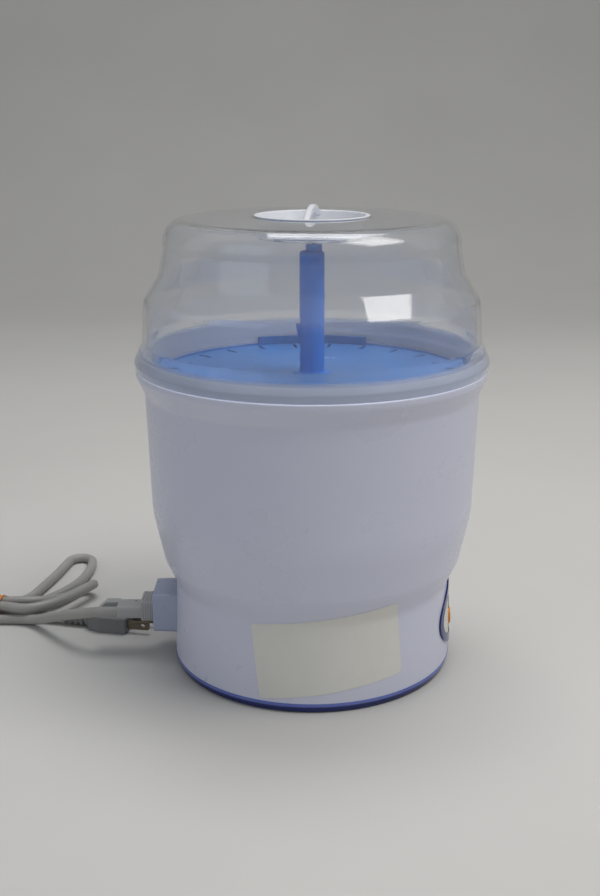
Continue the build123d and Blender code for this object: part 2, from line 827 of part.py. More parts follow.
def lid_dome():
    inner_lip_r = mouth_r - moving_gap - lid_wall
    outside = [
        (flange_low_r, rim_z + moving_gap, 0.8), (flange_r, flange_z, 3), (neck_r, neck_z, 5),
        (side_r, side_z, 8), (step_r, step_z, 10), (crown_r, crown_z, 20), (top_r, top_z, crown_round),
        (well_top_r, well_top_z, 1.2), (well_low_r, well_floor_z, 2),
    ]
    inside = [
        (0, well_floor_z, 0), (0, well_floor_z - lid_wall, 0),
        (well_low_r + lid_wall, well_floor_z - lid_wall, 3), (well_top_r + lid_wall, well_top_z - lid_wall, 2),
        (top_r - lid_wall, top_z - lid_wall, crown_round - lid_wall), (crown_r - lid_wall, crown_z, 20),
        (step_r - lid_wall, step_z, 10), (side_r - lid_wall, side_z, 8),
        (inner_lip_r, neck_z, 0), (inner_lip_r, lid_lip_z, 0.4),
        (inner_lip_r + lid_wall, lid_lip_z, 0.4), (inner_lip_r + lid_wall, neck_z - 6.5, 0.7),
        (flange_r - lid_wall - 0.6, flange_z + 0.5, 2), (flange_low_r - lid_wall, rim_z + moving_gap, 0.4),
    ]
    lid = turned(outside + inside)
    for x, y in round_places(peg_ring_r, 3, 90):
        lid -= disc(peg_r + seat_gap, well_floor_z - lid_wall, well_floor_z, x, y)
    for x, y in round_places(peg_ring_r, 3, 30):
        lid -= disc(vent_hole_r, well_floor_z - lid_wall, well_floor_z, x, y)
    return lid


def grip_bar():
    # An arch across the cup whose feet end inside the cup's wall.
    half_span = well_top_r - seat_gap - grip_wall / 2
    rise = grip_bar_top - well_top_z
    arch_r = (half_span ** 2 + rise ** 2) / (2 * rise)
    half_deg = math.degrees(math.asin(half_span / arch_r))
    section = Plane.XZ * (Pos(0, arch_r - grip_bar_thick / 2) * RectangleRounded(grip_bar_width, grip_bar_thick, 1.2))
    bar = Rot(-half_deg, 0, 0) * revolve(section, Axis.X, 2 * half_deg)
    return Rot(0, 0, grip_turn_deg) * Pos(0, 0, grip_bar_top - arch_r) * bar


def lid_grip():
    rim_low = well_top_z + seat_gap
    cup = turned([
        (0, grip_floor_z, 0), (well_low_r - seat_gap, grip_floor_z, 1.6), (well_top_r - seat_gap, rim_low, 0.6),
        (grip_rim_r, rim_low, 0.2), (grip_rim_r, rim_low + grip_rim, 0.5),
        (well_top_r - seat_gap - grip_wall, rim_low + grip_rim, 0.9),
        (well_low_r - seat_gap - grip_wall, grip_floor_top, 2.5), (0, grip_floor_top, 0),
    ])
    cup += grip_bar()
    for x, y in round_places(peg_ring_r, 3, 90):
        head_top_z = well_floor_z - lid_wall - seat_gap
        cup += disc(peg_r, head_top_z, grip_floor_z + 0.5, x, y)
        cup += disc(peg_head_r, head_top_z - peg_head, head_top_z, x, y)
    for x, y in round_places(peg_ring_r, 3, 30):
        cup -= disc(vent_hole_r, grip_floor_z, grip_floor_top, x, y)
    return cup


# Upper tray, stem and latch

def upper_tray():
    tray_r = mouth_r - moving_gap
    tray = turned([
        (0, tray_low, 0), (tray_r, tray_low, 0.5), (tray_r, tray_top, 0.5), (tray_bead_r, tray_top, 0),
        (tray_bead_r - 0.2, tray_top + tray_bead, 0.3), (tray_bead_r - tray_bead_width, tray_top + tray_bead, 0.3),
        (tray_bead_r - tray_bead_width - 0.2, tray_top, 0), (0, tray_top, 0),
    ])
    lug = Plane.XZ * make_face(Polyline(
        (lug_r, tray_top - 0.5), (lug_r, lug_top), (lug_r - lug_thick, lug_top), (lug_r - lug_thick, tray_top - 0.5),
        close=True,
    ))
    for middle in (-90, 90):
        tray += Rot(0, 0, middle - lug_span_deg / 2) * revolve(lug, Axis.Z, lug_span_deg)
    tray -= disc(stem_r + seat_gap, tray_low, tray_top)
    slot = Pos(mouth_r - slot_inset, 0, tray_low) * extrude(SlotOverall(slot_length, slot_width), tray_thick)
    return tray - [Rot(0, 0, 360 * (i + 0.5) / slot_count) * slot for i in range(slot_count)]


def stem_column():
    bore_r = stem_r - stem_wall
    tail_z = tray_low - stem_tail
    column = turned([
        (bore_r, tail_z, 0), (stem_r, tail_z, 0.6), (stem_r, tray_low - 2.2, 0),
        (stem_r + stem_barb, tray_low - seat_gap - 0.6, 0), (stem_r + stem_barb, tray_low - seat_gap, 0),
        (stem_r, tray_low - seat_gap, 0), (stem_r, tray_top, 0), (stem_flange_r, tray_top, 0),
        (stem_flange_r, tray_top + stem_flange, 0.8), (stem_r, tray_top + stem_flange, 1.5),
        (stem_r, stem_top, stem_shoulder), (0, stem_top, 0),
        (0, stem_top - stem_cap, 0), (bore_r, stem_top - stem_cap, 0),
    ])
    column -= disc(spigot_r + seat_gap, stem_top - stem_cap, stem_top, head_x)
    half = latch_width / 2 + moving_gap
    column -= block(-stem_r - 1, latch_back_x + 1, -half, half, latch_pin_z - 2.2, latch_top + latch_window)
    pin = Pos(latch_pin_x, 0, latch_pin_z) * Rot(90, 0, 0) * Cylinder(latch_pin_r + 0.02, latch_pin_length + 0.1)
    return column - pin


def stem_head():
    return Pos(head_x, 0, 0) * turned([
        (0, stem_top - stem_cap, 0), (spigot_r, stem_top - stem_cap, 0.5), (spigot_r, stem_top, 0),
        (head_r, stem_top, 0), (head_r, head_top, 0.9), (tip_r, head_top, 0.6), (tip_r, tip_top, 0.8),
        (0, tip_top, 0),
    ])


def latch_pin():
    return Pos(latch_pin_x, 0, latch_pin_z) * Rot(90, 0, 0) * Cylinder(latch_pin_r, latch_pin_length)


def latch_lever():
    root_low = latch_pin_z - 1.7
    outline = make_face(FilletPolyline(
        (latch_back_x + 0.6, root_low), (latch_face_x + 0.5, root_low), (latch_face_x, latch_root_z),
        (latch_tip_x, latch_top - latch_tip_high), (latch_tip_x + latch_tip_thick, latch_top),
        (latch_back_x + 0.2, latch_root_z),
        radius=[0.8, 0.4, 3.0, 0.4, 0.4, 2.0], close=True,
    ))
    lever = Pos(0, latch_width / 2, 0) * extrude(Plane.XZ * outline, latch_width)
    bore = Pos(latch_pin_x, 0, latch_pin_z) * Rot(90, 0, 0) * Cylinder(latch_pin_r + pivot_gap, latch_width + 2)
    return lever - bore


# Bottle rack

def bottle_rack():
    top = rack_low + rack_thick
    pieces = [
        disc(r + rack_ring_half, rack_low, top) - disc(r - rack_ring_half, rack_low, top) for r in rack_rings
    ]
    pieces.append(disc(rack_hub_r, rack_low, rack_low + rack_hub))
    pieces.append(disc(stem_r - stem_wall - moving_gap, rack_low, rack_post_top))
    spoke = block(rack_hub_r - 2, rack_rings[-1], -1.6, 1.6, rack_low, top)
    first_deg = 180 / rack_spokes
    pieces += [Rot(0, 0, first_deg + 360 * i / rack_spokes) * spoke for i in range(rack_spokes)]
    for x, y in round_places(rack_peg_ring_r, rack_spokes, first_deg):
        peg = disc(rack_peg_r, rack_low, top + rack_peg_high, x, y)
        pieces.append(fillet(peg.edges().group_by(Axis.Z)[-1], rack_peg_r * 0.8))
    for x, y in round_places(rack_rings[-1], rack_spokes, first_deg):
        pieces.append(disc(rack_foot_r, deck_z + moving_gap, top, x, y))
    return joined(pieces)


# Connector

def connector_body():
    nose = rounded_bar(head_front_x, nose_front_x, 0, axis_z, nose_width, nose_high, nose_corner)
    head = rounded_bar(head_back_x, head_front_x, 0, axis_z, head_width, head_high - head_low, nose_corner)
    for i in range(rib_count):
        x = head_front_x - 0.7 - rib_pitch * i
        outer = rounded_bar(x - rib_width, x, 0, axis_z, head_width + 2, head_high - head_low + 2, nose_corner)
        core_high = head_high - head_low - 2 * rib_depth
        head -= outer - rounded_bar(x - rib_width, x, 0, axis_z, head_width - 2 * rib_depth, core_high, nose_corner)
    grip_mid = (grip_low + grip_high) / 2
    grip = rounded_bar(grip_back_x, head_back_x, 0, grip_mid, 2 * grip_half, grip_high - grip_low, nose_corner)
    grip -= disc(dimple_r, grip_high - 0.8, grip_high + 1, head_back_x - dimple_inset, dimple_y)
    side = make_face(FilletPolyline(
        (grip_back_x + 1, tail_low), (grip_back_x + 1, grip_high - 0.2), (tail_slope_x, grip_high - 0.2),
        (tail_end_x, tail_low + 2.6), (tail_end_x, tail_low),
        radius=[0, 0, 2.0, 0.8, 0.8], close=True,
    ))
    tail = Pos(0, tail_far_y, 0) * extrude(Plane.XZ * side, tail_far_y - tail_near_y)
    body = nose + head + grip + tail
    for sign in (-1, 1):
        body -= pin_slot(nose_front_x - socket_length - 0.8, nose_front_x, sign * pin_pitch / 2,
                         seat_gap + socket_wall + seat_gap / 2)
    return body


def connector_sockets():
    sockets = []
    for side in (-1, 1):
        y = side * pin_pitch / 2
        back = nose_front_x - socket_length
        sleeve = pin_slot(back, nose_front_x - 0.6, y, seat_gap + socket_wall)
        sockets.append(sleeve - pin_slot(back, nose_front_x, y, seat_gap))
    return Compound(sockets)


# Plug

def at_plug(shape):
    # The plug's own frame has its blades' face at X = 0 and its cord end towards -X.
    return Pos(*plug_front, 0) * Rot(0, 0, plug_turn_deg) * shape


def plug_body():
    half = plug_width / 2
    rear = plug_rear_width / 2
    plan = make_face(FilletPolyline(
        (0, -half), (0, half), (plug_waist - plug_length, half), (-plug_length, rear), (-plug_length, -rear),
        (plug_waist - plug_length, -half),
        radius=[2.5, 2.5, 6, 2, 2, 6], close=True,
    ))
    top = plug_high / 2 + relief_axis_z
    side = make_face(Polyline(
        (0, 0), (0, plug_high), (plug_waist - plug_length, plug_high), (-plug_length, top - 0.6),
        (-plug_length, 1.6), (plug_waist / 2 - plug_length, 0),
        close=True,
    ))
    body = extrude(plan, plug_high)
    body = fillet(body.edges().group_by(Axis.Z)[-1], plug_round)
    body &= Pos(0, half, 0) * extrude(Plane.XZ * side, plug_width)
    for sign in (-1, 1):
        body -= blade(sign, seat_gap / 2)
    return at_plug(body)


def blade(sign, grow):
    y = sign * blade_pitch / 2
    thick = blade_thick / 2 + grow
    high = blade_width / 2 + grow
    mid = plug_high / 2
    return block(-blade_root - grow, blade_length, y - thick, y + thick, mid - high, mid + high)


def plug_blades():
    blades = []
    for sign in (-1, 1):
        flat = blade(sign, 0)
        flat = fillet(flat.edges().filter_by(Axis.Y).group_by(Axis.X)[-1], 2.0)
        hole = Pos(blade_length - blade_hole_back, 0, plug_high / 2) * Rot(90, 0, 0) * Cylinder(blade_hole_r, plug_width)
        blades.append(at_plug(flat - hole))
    return Compound(blades)


def plug_relief():
    # A tapered sleeve, cut from above and below into short links on a core.
    cone = Pos(-plug_length - relief_length / 2, 0, relief_axis_z) * Rot(0, -90, 0) * Cone(
        relief_big_r, relief_small_r, relief_length)
    pitch = relief_length / (relief_slots + 1)
    for i in range(relief_slots):
        x = -plug_length - pitch * (i + 1)
        for sign in (-1, 1):
            z_near = relief_axis_z + sign * relief_core
            z_far = relief_axis_z + sign * (relief_big_r + 1)
            cone -= block(x - relief_slot / 2, x + relief_slot / 2, -relief_big_r, relief_big_r,
                          min(z_near, z_far), max(z_near, z_far))
    return at_plug(cone)


# Lead and wires

def corner_radii(points):
    # Each bend is as large as its two runs allow.
    radii = []
    for before, here, after in zip(points, points[1:], points[2:]):
        arriving = Vector(*here) - Vector(*before)
        leaving = Vector(*after) - Vector(*here)
        half_turn = math.radians(arriving.get_angle(leaving)) / 2
        radii.append(0.45 * min(arriving.length, leaving.length) / math.tan(half_turn))
    return radii


def route(points):
    return FilletPolyline(points, radius=corner_radii(points))


def tube(points, diameter):
    path = route(points)
    start = Plane(path @ 0, z_dir=path % 0)
    return sweep(start * Circle(diameter / 2), path=path)


def report_tube(name, points, solid):
    path = route(points)
    tightest = sorted(radius / cord_d for radius in corner_radii(points))[:4]
    expected = math.pi * cord_d ** 2 / 4 * path.length
    print(f"{name}: {path.length:.0f} long, {solid.volume / expected:.4f} of section times length,",
          "tightest bends in diameters", [round(radius, 1) for radius in tightest])


def least_gap(points):
    # Least distance between strands of one tube, from points along it.
    path = route(points)
    step = 2.0
    count = int(path.length / step)
    along = [path @ (i / count) for i in range(count + 1)]
    apart = int(5 * cord_d / step)
    return min((a - b).length for i, a in enumerate(along) for b in along[i + apart:]) - cord_d


def cord_from_connector():
    return tube(cord_lead_points, cord_d)


def cord_hank():
    return tube(cord_hank_points, cord_d)


def cord_to_plug():
    return tube(cord_plug_points, cord_d)


def strands_at_tie():
    # Centres of the strands that the tie holds. The first one to cross its plane lies outside it.
    path = route(cord_hank_points)
    count = int(path.length)
    along = [path @ (i / count) for i in range(count + 1)]
    crossings = []
    for here, after in zip(along, along[1:]):
        if (here.X - tie_x) * (after.X - tie_x) < 0:
            middle = here + (after - here) * ((tie_x - here.X) / (after.X - here.X))
            crossings.append((middle.Y, middle.Z))
    return crossings[1:]


def tie_outline(strands, radius):
    circles = [edge for y, z in strands for edge in (Pos(y, z) * Circle(radius)).edges()]
    return make_hull(circles)


def cord_tie():
    strands = strands_at_tie()
    inner_r = cord_d / 2 + tie_gap
    plane = Plane((tie_x - tie_width / 2, 0, 0), x_dir=(0, 1, 0), z_dir=(1, 0, 0))
    return extrude(plane * (tie_outline(strands, inner_r + tie_thick) - tie_outline(strands, inner_r)), tie_width)


def wire(points):
    return tube(points, wire_d)


def element_lead(side):
    # Where a wire leaves a terminal of the element, straight on from it.
    end, away = element_end(side)
    joint = tuple(e + terminal_length * a for e, a in zip(end, away))
    beyond = tuple(e + (terminal_length + 6) * a for e, a in zip(end, away))
    return joint, beyond


def mains_wires():
    # Live to the board, neutral to one end of the element, and the board to its other end.
    pin_back = inlet_back_x + insert_back + pin_tail
    half = pin_pitch / 2
    low_joint, low_beyond = element_lead(-1)
    high_joint, high_beyond = element_lead(1)
    live = [(pin_back, -half, axis_z), (-74, -half, axis_z), (-63, -14, 24), (-46, -32, 15), (-22, -46, 11),
            (6, -52, 10), (34, -48, 10), (56, -34, 12), (70, -16, 15), (76, -12.4, 16), (board_x, -12.4, 16)]
    neutral = [(pin_back, half, axis_z), (-74, half, axis_z), (-64, 7, 38), (-54, 6.4, 45), (-46, 5.2, 50.4),
               high_beyond, high_joint]
    switched = [low_joint, low_beyond, (-46, -6, 49), (-44, -17, 40), (-30, -32, 30),
                (-4, -40, 22), (24, -36, 19), (50, -22, 22), (68, -10, 26), (75, -8, 27.6), (board_x, -8, 27.6)]
    return Compound([wire(live), wire(neutral), wire(switched)])


def sensor_wires():
    # From both leads of the thermal fuse to the board.
    z = pan_low - fuse_r
    lead_end = fuse_length / 2 + fuse_lead
    near = [(lead_end, fuse_y, z), (lead_end + 6, fuse_y, z), (24, 21.5, 48), (33, 25, 42), (46, 25, 36),
            (60, 19, 32), (75, 12, 31), (board_x, 12, 31)]
    far = [(-lead_end, fuse_y, z), (-lead_end - 6, fuse_y, z), (-21.5, 25, 48), (-18, 35, 41), (-4, 41, 35),
           (16, 42, 31), (38, 35, 29), (58, 22, 32), (75, 15.4, 36), (board_x, 15.4, 36)]
    return Compound([wire(near), wire(far)])


# One file for each piece

pieces = {
    "outer_shell": outer_shell,
    "base_plate": base_plate,
    "rubber_feet": rubber_feet,
    "base_screws": base_screws,
    "heating_plate": heating_plate,
    "plate_gasket": plate_gasket,
    "clamp_ring": clamp_ring,
    "clamp_screws": clamp_screws,
    "heating_element": heating_element,
    "element_terminals": element_terminals,
    "thermostat": thermostat,
    "thermostat_bracket": thermostat_bracket,
    "thermal_fuse": thermal_fuse,
    "inlet_housing": inlet_housing,
    "mains_inlet": mains_inlet,
    "inlet_pins": inlet_pins,
    "panel_bezel": panel_bezel,
    "panel_plate": panel_plate,
    "display_lens": display_lens,
    "display_module": display_module,
    "control_board": control_board,
    "board_screws": board_screws,
    "button_switch": button_switch,
    "switch_plunger": switch_plunger,
    "start_button": start_button,
    "indicator_lens": indicator_lens,
    "label_film": label_film,
    "mains_wires": mains_wires,
    "sensor_wires": sensor_wires,
    "bottle_rack": bottle_rack,
    "upper_tray": upper_tray,
    "stem_column": stem_column,
    "stem_head": stem_head,
    "latch_pin": latch_pin,
    "latch_lever": latch_lever,
    "lid_dome": lid_dome,
    "lid_grip": lid_grip,
    "connector_body": connector_body,
    "connector_sockets": connector_sockets,
    "cord_from_connector": cord_from_connector,
    "cord_hank": cord_hank,
    "cord_tie": cord_tie,
    "cord_to_plug": cord_to_plug,
    "plug_relief": plug_relief,
    "plug_body": plug_body,
    "plug_blades": plug_blades,
}

os.makedirs("parts", exist_ok=True)
solids = {name: make() for name, make in pieces.items()}
for name, solid in solids.items():
    export_step(solid, f"parts/{name}.step")
report_tube("cord_from_connector", cord_lead_points, solids["cord_from_connector"])
report_tube("cord_hank", cord_hank_points, solids["cord_hank"])
report_tube("cord_to_plug", cord_plug_points, solids["cord_to_plug"])
print(f"least gap between the hank's strands: {least_gap(cord_hank_points):.2f}")
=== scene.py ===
import json
import math

import bpy
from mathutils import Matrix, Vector


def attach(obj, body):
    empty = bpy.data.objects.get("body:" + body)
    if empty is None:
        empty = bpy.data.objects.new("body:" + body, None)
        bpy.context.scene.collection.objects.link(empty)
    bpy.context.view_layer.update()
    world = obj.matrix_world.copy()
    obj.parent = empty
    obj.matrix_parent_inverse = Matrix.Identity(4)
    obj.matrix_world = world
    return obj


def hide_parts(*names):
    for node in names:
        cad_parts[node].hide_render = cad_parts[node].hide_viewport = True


# Electric steam sterilizer. Metres, same frame as the CAD: +Z up, +X control panel, -X mains inlet.

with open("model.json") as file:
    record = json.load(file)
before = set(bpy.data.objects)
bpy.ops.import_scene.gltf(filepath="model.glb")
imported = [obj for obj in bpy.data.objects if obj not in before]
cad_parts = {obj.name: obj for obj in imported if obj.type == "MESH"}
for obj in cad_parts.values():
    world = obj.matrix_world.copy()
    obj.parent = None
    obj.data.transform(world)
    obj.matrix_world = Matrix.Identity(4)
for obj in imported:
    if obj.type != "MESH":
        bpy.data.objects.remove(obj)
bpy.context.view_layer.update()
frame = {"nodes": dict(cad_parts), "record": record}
cadNodes = frame["nodes"]
print("frame loaded:", len(cadNodes), "nodes")


# --- camera and light

view = {
    "focalPixels": 1200,  # focal length on the photo's long side
    "longSidePixels": 896,
    "pitchDeg": 16.1,
    "eye": (0.0, -0.800, 0.3828),
    "axisPixels": 12,  # the object's axis stands this far right of the middle
}

studio = {
    "floorColor": (0.600, 0.590, 0.565),
    "worldColor": (0.93, 0.95, 1.0),
    "worldStrength": 0.33,
    "floorReach": 6.0,
    "wallY": 2.6,
    "wallHeight": 4.0,
    "sweepRadius": 1.2,
}


def linkObject(obj):
    bpy.context.scene.collection.objects.link(obj)
    return obj


def addCamera():
    data = bpy.data.cameras.new("photoCamera")
    data.sensor_fit = "AUTO"
    data.sensor_width = 36.0
    data.lens = view["focalPixels"] / view["longSidePixels"] * data.sensor_width
    data.shift_x = -view["axisPixels"] / view["longSidePixels"]
    data.clip_start = 0.01
    data.clip_end = 40
    camera = linkObject(bpy.data.objects.new("photoCamera", data))
    camera.location = view["eye"]
    camera.rotation_euler = (math.radians(90 - view["pitchDeg"]), 0, 0)
    bpy.context.scene.camera = camera


def addLamp(name, place, target, size, watts, color):
    data = bpy.data.lights.new(name, "AREA")
    data.shape = "RECTANGLE"
    data.size, data.size_y = size
    data.energy = watts
    data.color = color
    lamp = linkObject(bpy.data.objects.new(name, data))
    lamp.location = place
    aim = Vector(target) - Vector(place)
    lamp.rotation_euler = aim.to_track_quat("-Z", "Y").to_euler()


def addStudio():
    addLamp("keyLamp", (0.95, -0.40, 1.60), (0, 0, 0.15), (0.9, 0.9), 13, (1.0, 0.985, 0.96))
    addLamp("fillLamp", (-1.5, -1.2, 0.9), (0, 0, 0.15), (1.4, 1.4), 3, (0.74, 0.86, 1.0))
    addLamp("topLamp", (0.1, 0.35, 1.7), (0, 0, 0.2), (1.0, 0.7), 11, (1.0, 1.0, 1.0))
    world = bpy.data.worlds.new("softRoom")
    world.use_nodes = True
    background = world.node_tree.nodes["Background"]
    background.inputs["Color"].default_value = (*studio["worldColor"], 1)
    background.inputs["Strength"].default_value = studio["worldStrength"]
    bpy.context.scene.world = world
    bpy.context.scene.view_settings.view_transform = "Standard"


def addSweep():
    # floor that curves up into a wall, so that no line shows behind the object
    reach, wallY, radius = studio["floorReach"], studio["wallY"], studio["sweepRadius"]
    line = [(-reach, 0.0), (wallY - radius, 0.0)]
    steps = 24
    for i in range(1, steps + 1):
        turn = math.pi / 2 * i / steps
        line.append((wallY - radius + radius * math.sin(turn), radius - radius * math.cos(turn)))
    line.append((wallY, studio["wallHeight"]))
    points = [(x, y, z) for y, z in line for x in (-reach, reach)]
    faces = [(2 * i, 2 * i + 1, 2 * i + 3, 2 * i + 2) for i in range(len(line) - 1)]
    mesh = bpy.data.meshes.new("sweep")
    mesh.from_pydata(points, [], faces)
    for face in mesh.polygons:
        face.use_smooth = True
    floor = linkObject(bpy.data.objects.new("sweep", mesh))
    floor.data.materials.append(paperMaterial())


# --- materials

def newMaterial(name):
    material = bpy.data.materials.new(name)
    material.use_nodes = True
    tree = material.node_tree
    shader = tree.nodes["Principled BSDF"]
    return material, tree, shader


def objectCoords(tree):
    found = [n for n in tree.nodes if n.bl_idname == "ShaderNodeTexCoord"]
    return (found or [tree.nodes.new("ShaderNodeTexCoord")])[0].outputs["Object"]


def noise(tree, scale, detail=3.0, roughness=0.55, stretch=None):
    coords = objectCoords(tree)
    if stretch:
        mapping = tree.nodes.new("ShaderNodeMapping")
        mapping.inputs["Scale"].default_value = stretch
        tree.links.new(coords, mapping.inputs["Vector"])
        coords = mapping.outputs["Vector"]
    texture = tree.nodes.new("ShaderNodeTexNoise")
    texture.inputs["Scale"].default_value = scale
    texture.inputs["Detail"].default_value = detail
    texture.inputs["Roughness"].default_value = roughness
    tree.links.new(coords, texture.inputs["Vector"])
    return texture.outputs["Fac"]


def remap(tree, source, low, high, outLow, outHigh):
    node = tree.nodes.new("ShaderNodeMapRange")
    for socket, value in zip(("From Min", "From Max", "To Min", "To Max"), (low, high, outLow, outHigh)):
        node.inputs[socket].default_value = value
    tree.links.new(source, node.inputs["Value"])
    return node.outputs["Result"]


def mixColor(tree, factor, first, second):
    node = tree.nodes.new("ShaderNodeMix")
    node.data_type = "RGBA"
    tree.links.new(factor, node.inputs["Factor"])
    for socket, value in (("A", first), ("B", second)):
        target = [s for s in node.inputs if s.name == socket and s.type == "RGBA"][0]
        if isinstance(value, tuple):
            target.default_value = (*value, 1)
        else:
            tree.links.new(value, target)
    return [s for s in node.outputs if s.type == "RGBA"][0]


def heightMask(tree, low, high):
    # 1 under the lower height, 0 over the higher one
    split = tree.nodes.new("ShaderNodeSeparateXYZ")
    tree.links.new(objectCoords(tree), split.inputs["Vector"])
    return remap(tree, split.outputs["Z"], low, high, 1, 0)


def addBump(tree, shader, height, strength, distance):
    bump = tree.nodes.new("ShaderNodeBump")
    bump.inputs["Strength"].default_value = strength
    bump.inputs["Distance"].default_value = distance
    tree.links.new(height, bump.inputs["Height"])
    tree.links.new(bump.outputs["Normal"], shader.inputs["Normal"])


def shade(color, amount):
    return tuple(min(1.0, c * amount) for c in color)


def paperMaterial():
    material, tree, shader = newMaterial("sweepPaper")
    color = studio["floorColor"]
    cloud = remap(tree, noise(tree, 3.0, 4), 0.3, 0.7, 0, 1)
    base = mixColor(tree, cloud, shade(color, 0.97), shade(color, 1.02))
    tree.links.new(base, shader.inputs["Base Color"])
    shader.inputs["Roughness"].default_value = 0.75
    shader.inputs["Specular IOR Level"].default_value = 0.25
    return material


def mouldedPlastic(name, color, roughness=0.3, grain=0.00004, grainScale=900, mottle=0.04, glow=0.0):
    # moulded plastic: cloudy tone, uneven gloss, fine skin
    material, tree, shader = newMaterial(name)
    cloud = remap(tree, noise(tree, 14, 4), 0.3, 0.7, 0, 1)
    fine = remap(tree, noise(tree, 160, 5), 0.35, 0.65, 0, 1)
    tone = mixColor(tree, cloud, shade(color, 1 - mottle), shade(color, 1 + mottle * 0.5))
    tone = mixColor(tree, remap(tree, fine, 0, 1, 0, 0.35), tone, shade(color, 1 - mottle * 0.8))
    tree.links.new(tone, shader.inputs["Base Color"])
    gloss = remap(tree, noise(tree, 38, 5), 0.3, 0.7, roughness * 0.82, roughness * 1.22)
    tree.links.new(gloss, shader.inputs["Roughness"])
    if glow:
        shader.inputs["Subsurface Weight"].default_value = glow
        shader.inputs["Subsurface Radius"].default_value = (0.6, 0.7, 1.0)
        shader.inputs["Subsurface Scale"].default_value = 0.006
    addBump(tree, shader, noise(tree, grainScale, 2), 0.5, grain)
    return material


def bodyWhite():
    # white shell: slightly lavender, with faint handling marks
    material, tree, shader = newMaterial("bodyWhite")
    color = (0.620, 0.635, 0.750)
    cloud = remap(tree, noise(tree, 9, 4), 0.3, 0.7, 0, 1)
    tone = mixColor(tree, cloud, shade(color, 0.975), shade(color, 1.015))
    specks = remap(tree, noise(tree, 70, 6, 0.7), 0.66, 0.74, 0, 0.35)
    tone = mixColor(tree, specks, tone, (0.62, 0.60, 0.55))
    tree.links.new(tone, shader.inputs["Base Color"])
    gloss = remap(tree, noise(tree, 24, 6), 0.3, 0.7, 0.24, 0.36)
    tree.links.new(gloss, shader.inputs["Roughness"])
    shader.inputs["Subsurface Weight"].default_value = 0.12
    shader.inputs["Subsurface Radius"].default_value = (1.0, 0.9, 0.9)
    shader.inputs["Subsurface Scale"].default_value = 0.003
    addBump(tree, shader, noise(tree, 60, 3), 0.25, 0.00012)
    return material


lidLook = {
    "hemLow": 0.2215,  # below this height the flange and the lip look milky
    "hemHigh": 0.2240,
    "color": (0.93, 0.935, 0.945),
    "milk": (0.56, 0.60, 0.69),
    "clearThrough": (0.965, 0.925),  # transmission where it is clean and where it is smeared
    "hemThrough": 0.52,
    "index": 1.17,  # low, so that the double wall doesn't bend what stands behind it
    "coatIndex": 1.48,
}


def clearLid():
    # clear moulding with a milky flange, which lets the lamps through to what it covers
    material, tree, shader = newMaterial("clearLid")
    hem = heightMask(tree, lidLook["hemLow"], lidLook["hemHigh"])
    smear = remap(tree, noise(tree, 16, 5), 0.35, 0.75, *lidLook["clearThrough"])
    through = tree.nodes.new("ShaderNodeMix")
    tree.links.new(hem, through.inputs["Factor"])
    tree.links.new(smear, through.inputs["A"])
    through.inputs["B"].default_value = lidLook["hemThrough"]
    tree.links.new(through.outputs["Result"], shader.inputs["Transmission Weight"])
    tree.links.new(mixColor(tree, hem, lidLook["color"], lidLook["milk"]), shader.inputs["Base Color"])
    tree.links.new(remap(tree, hem, 0, 1, 0.03, 0.24), shader.inputs["Roughness"])
    shader.inputs["IOR"].default_value = lidLook["index"]
    shader.inputs["Coat Weight"].default_value = 1.0
    shader.inputs["Coat IOR"].default_value = lidLook["coatIndex"]
    tree.links.new(remap(tree, noise(tree, 30, 5), 0.35, 0.75, 0.02, 0.07), shader.inputs["Coat Roughness"])
    addBump(tree, shader, noise(tree, 22, 2), 0.15, 0.0002)
    clear = tree.nodes.new("ShaderNodeBsdfTransparent")
    clear.inputs["Color"].default_value = (*lidLook["color"], 1)
    path = tree.nodes.new("ShaderNodeLightPath")
    mix = tree.nodes.new("ShaderNodeMixShader")
    tree.links.new(path.outputs["Is Shadow Ray"], mix.inputs[0])
    tree.links.new(shader.outputs["BSDF"], mix.inputs[1])
    tree.links.new(clear.outputs["BSDF"], mix.inputs[2])
    tree.links.new(mix.outputs["Shader"], tree.nodes["Material Output"].inputs["Surface"])
    return material


rimLook = {
    "footLow": 0.0040,  # below this height the ring gets painted shade
    "footHigh": 0.0054,
    # painted highlight: the ring's blue, lighter above the foot
    "edge": ((0.14, 0.19, 0.60), (0.20, 0.26, 0.66)),
    # painted shade at the ring's foot
    "foot": (0.008, 0.020, 0.150),
}


def baseRim():
    # see-through blue ring, painted lighter as a highlight on its upper edge and painted dark as shade at its
    # foot
    material, tree, shader = newMaterial("baseBlue")
    # painted shade under this height, painted highlight over it
    foot = heightMask(tree, rimLook["footLow"], rimLook["footHigh"])
    cloud = remap(tree, noise(tree, 26, 4), 0.3, 0.7, 0, 1)
    edge = mixColor(tree, cloud, *rimLook["edge"])
    tree.links.new(mixColor(tree, foot, edge, rimLook["foot"]), shader.inputs["Base Color"])
    shader.inputs["Transmission Weight"].default_value = 0.2
    shader.inputs["IOR"].default_value = 1.46
    tree.links.new(remap(tree, noise(tree, 45, 5), 0.3, 0.7, 0.12, 0.22), shader.inputs["Roughness"])
    addBump(tree, shader, noise(tree, 140, 3), 0.3, 0.00008)
    return material


def tintedPlastic(name, color, through, roughness=0.22):
    # coloured see-through moulding
    material, tree, shader = newMaterial(name)
    cloud = remap(tree, noise(tree, 20, 4), 0.3, 0.7, 0, 1)
    tone = mixColor(tree, cloud, shade(color, 0.93), shade(color, 1.06))
    tree.links.new(tone, shader.inputs["Base Color"])
    shader.inputs["Transmission Weight"].default_value = through
    shader.inputs["IOR"].default_value = 1.46
    gloss = remap(tree, noise(tree, 45, 5), 0.3, 0.7, roughness * 0.8, roughness * 1.25)
    tree.links.new(gloss, shader.inputs["Roughness"])
    addBump(tree, shader, noise(tree, 140, 3), 0.3, 0.00008)
    return material


